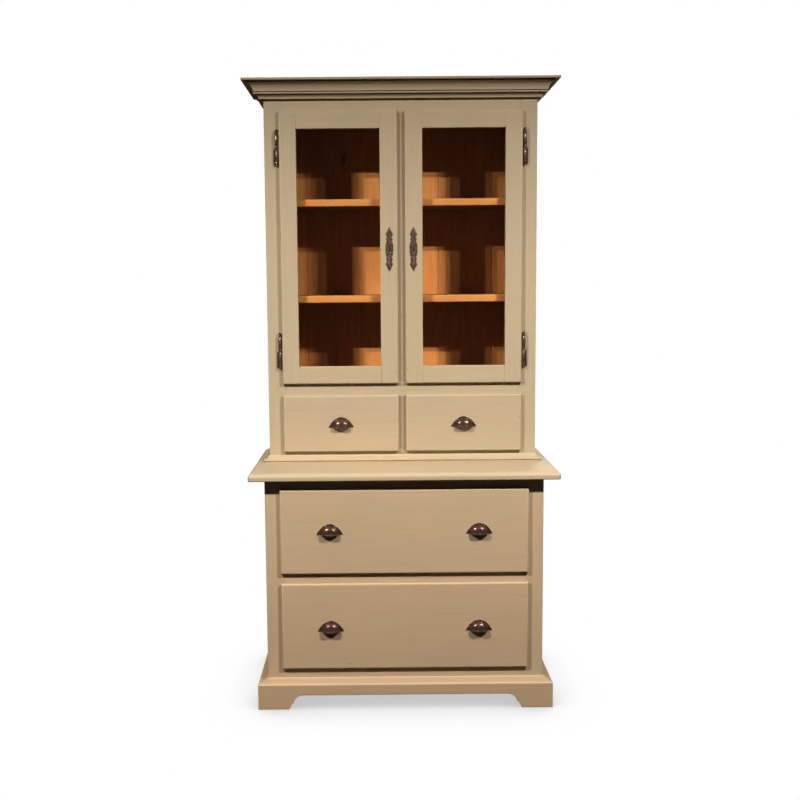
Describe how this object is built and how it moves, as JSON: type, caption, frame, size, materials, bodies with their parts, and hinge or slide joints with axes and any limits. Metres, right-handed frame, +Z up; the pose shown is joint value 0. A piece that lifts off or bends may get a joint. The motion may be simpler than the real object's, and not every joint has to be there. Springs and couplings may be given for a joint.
{
  "type": "pantry cabinet",
  "caption": "Tall painted pine pantry cabinet: glazed double-door cupboard and small drawers on a deeper base with wide drawers, cup pulls and bracket feet.",
  "frame": {"origin": "on the floor, below the middle of the whole cabinet", "axes": "+Z up, -Y towards the front, +X to the right of a person facing it"},
  "size_m": [1.054, 0.492, 2.092],
  "materials": {
    "painted_pine": "satin khaki paint on pine, lightly worn at the edges",
    "bare_pine": "orange-brown varnished pine with knots",
    "aged_iron": "dark brown patinated metal",
    "clear_glass": "clear window glass"
  },
  "bodies": {
    "carcass": {"cornice": "painted_pine", "cupboard_floor": "bare_pine", "door_post": "painted_pine", "drawer_divider": "bare_pine", "drawer_post": "painted_pine", "drawer_runner_left": "bare_pine", "drawer_runner_right": "bare_pine", "left_lower_hinge_frame": "aged_iron", "left_upper_hinge_frame": "aged_iron", "lower_back_panel": "bare_pine", "lower_bottom_board": "bare_pine", "lower_bottom_rail": "painted_pine", "lower_left_side": "painted_pine", "lower_left_stile": "painted_pine", "lower_mid_rail": "painted_pine", "lower_right_side": "painted_pine", "lower_right_stile": "painted_pine", "lower_top_rail": "painted_pine", "plinth": "painted_pine", "right_lower_hinge_frame": "aged_iron", "right_upper_hinge_frame": "aged_iron", "shelf_lower": "bare_pine", "shelf_upper": "bare_pine", "table_top": "painted_pine", "upper_back_panel": "bare_pine", "upper_bottom_board": "bare_pine", "upper_bottom_rail": "painted_pine", "upper_left_side": "painted_pine", "upper_left_stile": "painted_pine", "upper_mid_rail": "painted_pine", "upper_right_side": "painted_pine", "upper_right_stile": "painted_pine", "upper_top_board": "painted_pine", "upper_top_rail": "painted_pine", "waist_moulding": "painted_pine"},
    "left_door": {"left_door_frame": "painted_pine", "left_door_glass": "clear_glass", "left_escutcheon": "aged_iron", "left_lower_hinge_door": "aged_iron", "left_upper_hinge_door": "aged_iron"},
    "right_door": {"right_door_frame": "painted_pine", "right_door_glass": "clear_glass", "right_escutcheon": "aged_iron", "right_lower_hinge_door": "aged_iron", "right_upper_hinge_door": "aged_iron"},
    "small_drawer_left": {"small_drawer_left_box": "bare_pine", "small_drawer_left_front": "painted_pine", "small_drawer_left_pull": "aged_iron"},
    "small_drawer_right": {"small_drawer_right_box": "bare_pine", "small_drawer_right_front": "painted_pine", "small_drawer_right_pull": "aged_iron"},
    "upper_wide_drawer": {"upper_wide_drawer_box": "bare_pine", "upper_wide_drawer_front": "painted_pine", "upper_wide_drawer_pull_left": "aged_iron", "upper_wide_drawer_pull_right": "aged_iron"},
    "lower_wide_drawer": {"lower_wide_drawer_box": "bare_pine", "lower_wide_drawer_front": "painted_pine", "lower_wide_drawer_pull_left": "aged_iron", "lower_wide_drawer_pull_right": "aged_iron"}
  },
  "joints": [
    {"name": "left_door_hinge", "type": "hinge", "parent": "carcass", "child": "left_door", "pos_m": [-0.419, -0.0295, 1.5295], "axis": [0, 0, -1], "range_deg": [0, 160]},
    {"name": "right_door_hinge", "type": "hinge", "parent": "carcass", "child": "right_door", "pos_m": [0.419, -0.0295, 1.5295], "axis": [0, 0, 1], "range_deg": [0, 160]},
    {"name": "small_drawer_left_slide", "type": "slide", "parent": "carcass", "child": "small_drawer_left", "axis": [0, -1, 0], "range_m": [0, 0.17]},
    {"name": "small_drawer_right_slide", "type": "slide", "parent": "carcass", "child": "small_drawer_right", "axis": [0, -1, 0], "range_m": [0, 0.17]},
    {"name": "upper_wide_drawer_slide", "type": "slide", "parent": "carcass", "child": "upper_wide_drawer", "axis": [0, -1, 0], "range_m": [0, 0.31]},
    {"name": "lower_wide_drawer_slide", "type": "slide", "parent": "carcass", "child": "lower_wide_drawer", "axis": [0, -1, 0], "range_m": [0, 0.31]}
  ]
}
